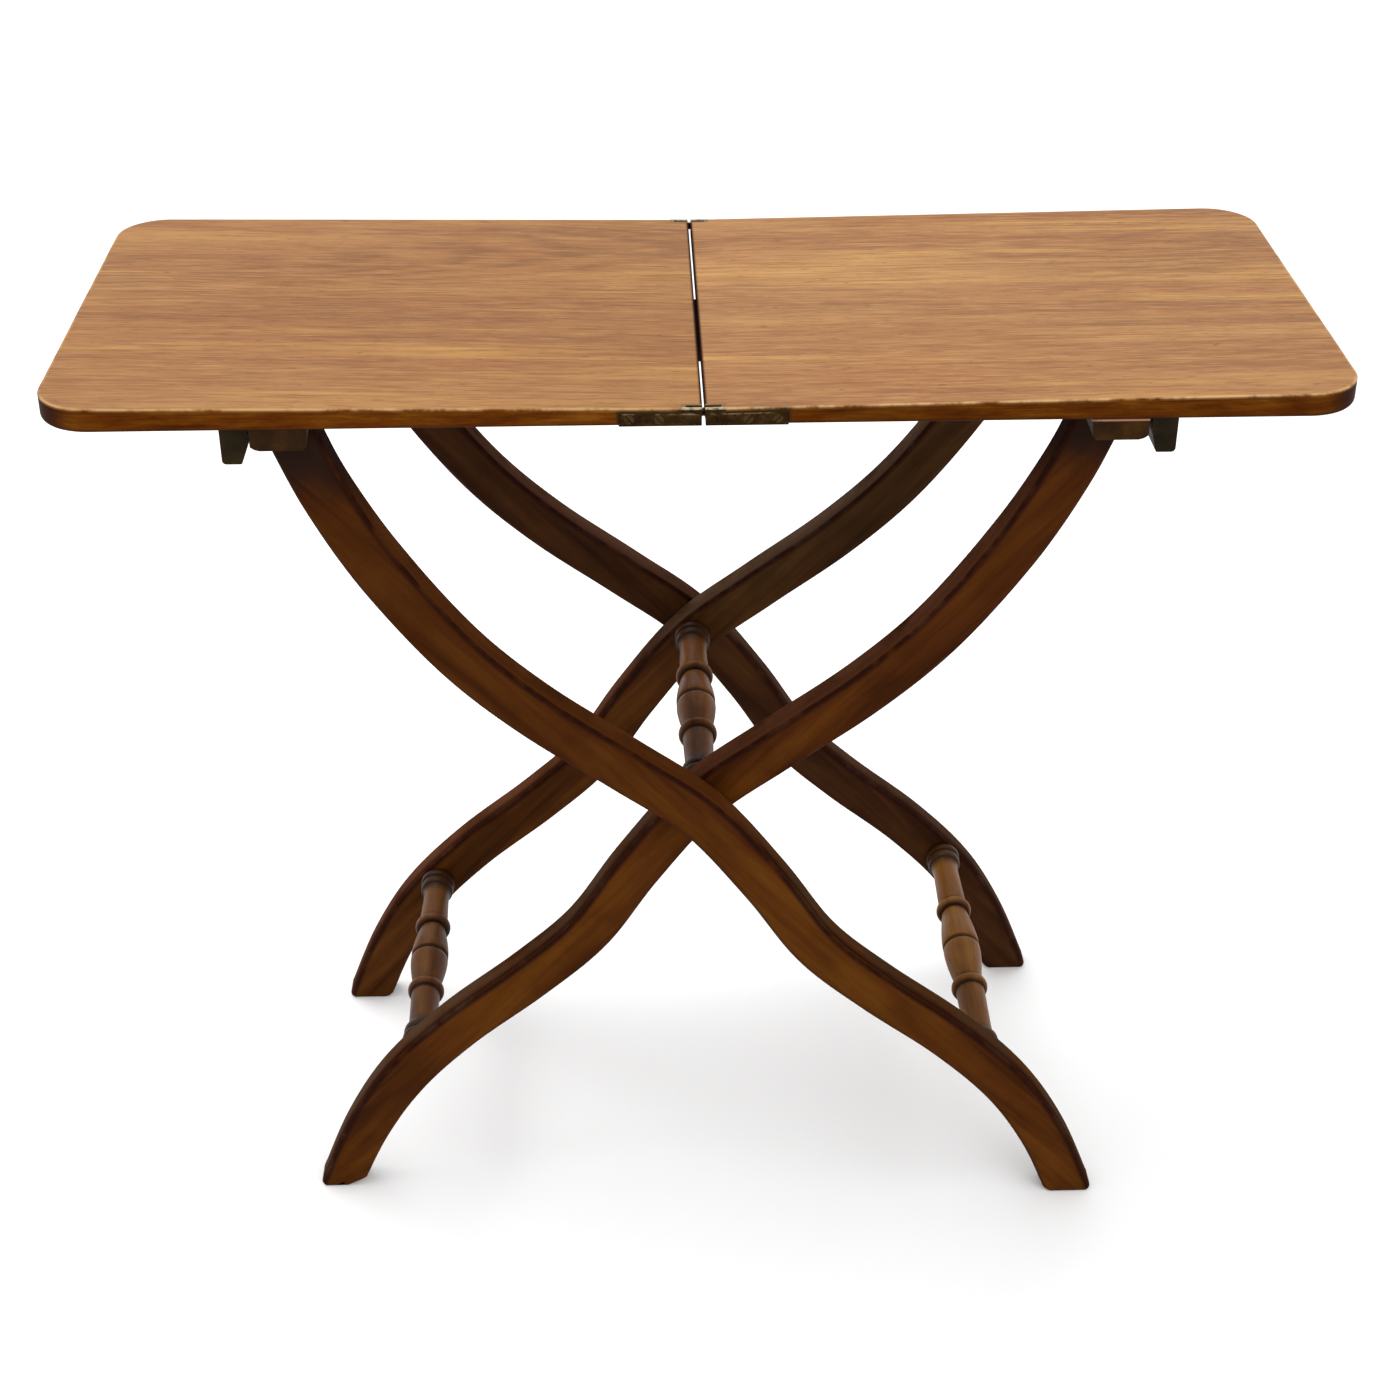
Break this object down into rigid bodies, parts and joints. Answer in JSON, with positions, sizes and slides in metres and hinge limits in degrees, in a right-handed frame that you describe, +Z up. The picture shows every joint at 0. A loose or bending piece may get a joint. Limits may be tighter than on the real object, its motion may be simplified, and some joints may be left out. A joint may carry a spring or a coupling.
{
  "type": "folding table",
  "caption": "Small folding table: a hinged two-leaf wooden top on crossed S-curved legs joined by turned stretchers.",
  "frame": {"origin": "on the floor under the middle of the open top", "axes": "+Z up, +X along the length of the top, across the legs' crossing, +Y away from the front edge"},
  "size_m": [0.9004, 0.366, 0.7395],
  "materials": {
    "top_wood": "satin, worn polish",
    "leg_wood": "satin, dark polish",
    "stretcher_wood": "satin",
    "under_wood": "dull",
    "hinge_brass": "aged, dark",
    "pin_iron": "dull",
    "screw_steel": "aged"
  },
  "bodies": {
    "left_top": {"top_left": "top_wood", "batten_left": "under_wood", "lug_left_front": "under_wood", "lug_left_back": "under_wood", "pivot_pins_left": "pin_iron", "hinge_leaf_left_front": "hinge_brass", "hinge_leaf_left_back": "hinge_brass", "hinge_pins_left": "hinge_brass", "hinge_screws_left": "hinge_brass", "seam_cleat": "under_wood", "cleat_screws": "screw_steel", "batten_screws_left": "screw_steel", "lug_screws_left": "screw_steel"},
    "hinge_links": {"hinge_link_front": "hinge_brass", "hinge_link_back": "hinge_brass"},
    "right_top": {"top_right": "top_wood", "batten_right": "under_wood", "lug_right_front": "under_wood", "lug_right_back": "under_wood", "pivot_pins_right": "pin_iron", "hinge_leaf_right_front": "hinge_brass", "hinge_leaf_right_back": "hinge_brass", "hinge_pins_right": "hinge_brass", "hinge_screws_right": "hinge_brass", "batten_screws_right": "screw_steel", "lug_screws_right": "screw_steel"},
    "outer_legs": {"leg_outer_front": "leg_wood", "leg_outer_back": "leg_wood", "stretcher_right": "stretcher_wood"},
    "inner_legs": {"leg_inner_front": "leg_wood", "leg_inner_back": "leg_wood", "stretcher_left": "stretcher_wood", "stretcher_centre": "stretcher_wood", "crossing_pins": "pin_iron"}
  },
  "joints": [
    {"name": "link_turn", "type": "hinge", "parent": "left_top", "child": "hinge_links", "pos_m": [-0.00425, 0, 0.73005], "axis": [0, -1, 0], "range_deg": [0, 89.3]},
    {"name": "top_fold", "type": "hinge", "parent": "left_top", "child": "right_top", "pos_m": [0, 0, 0.7342], "axis": [0, -1, 0], "range_deg": [0, 178.6]},
    {"name": "outer_legs_fold", "type": "hinge", "parent": "left_top", "child": "outer_legs", "pos_m": [-0.277, 0, 0.711], "axis": [0, -1, 0], "range_deg": [0, 52.5]},
    {"name": "inner_legs_fold", "type": "hinge", "parent": "right_top", "child": "inner_legs", "pos_m": [0.277, 0, 0.711], "axis": [0, 1, 0], "range_deg": [0, 52.5]}
  ],
  "couplings": [
    {"joint": "link_turn", "follows": "top_fold", "ratio": 0.5},
    {"joint": "outer_legs_fold", "follows": "top_fold", "ratio": 0.2926},
    {"joint": "inner_legs_fold", "follows": "top_fold", "ratio": 0.2926}
  ]
}
